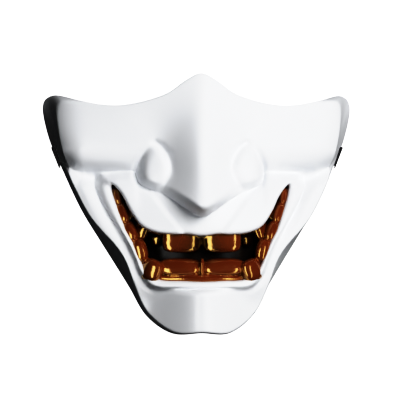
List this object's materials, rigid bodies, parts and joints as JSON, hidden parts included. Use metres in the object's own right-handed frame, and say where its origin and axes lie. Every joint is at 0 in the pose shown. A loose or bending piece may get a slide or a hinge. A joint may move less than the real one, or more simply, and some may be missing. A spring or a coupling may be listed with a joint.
{
  "type": "half mask",
  "caption": "White moulded half-face oni mask with a big nose, a grinning open mouth, fused rows of amber-gold teeth and an elastic strap; covers a wearer's nose, cheeks and chin.",
  "frame": {"origin": "centre of the bounding box at its bottom, on the plane of the flat back rim", "axes": "+Z out of the back rim towards the front of the face, so the mask lies face up; -Y towards the chin, +Y towards the nose bridge; X across the face, the long way"},
  "size_m": [0.1906, 0.1546, 0.0792],
  "materials": {
    "white_shell": "satin white moulded plastic",
    "gold_teeth": "mirror-bright metallised amber gold over plastic",
    "black_panel": "glossy black plastic sheet",
    "black_elastic": "black woven elastic band"
  },
  "bodies": {
    "root": {"mask_shell": "white_shell", "upper_teeth": "gold_teeth", "lower_teeth": "gold_teeth", "mouth_panel": "black_panel", "strap": "black_elastic"}
  },
  "joints": []
}
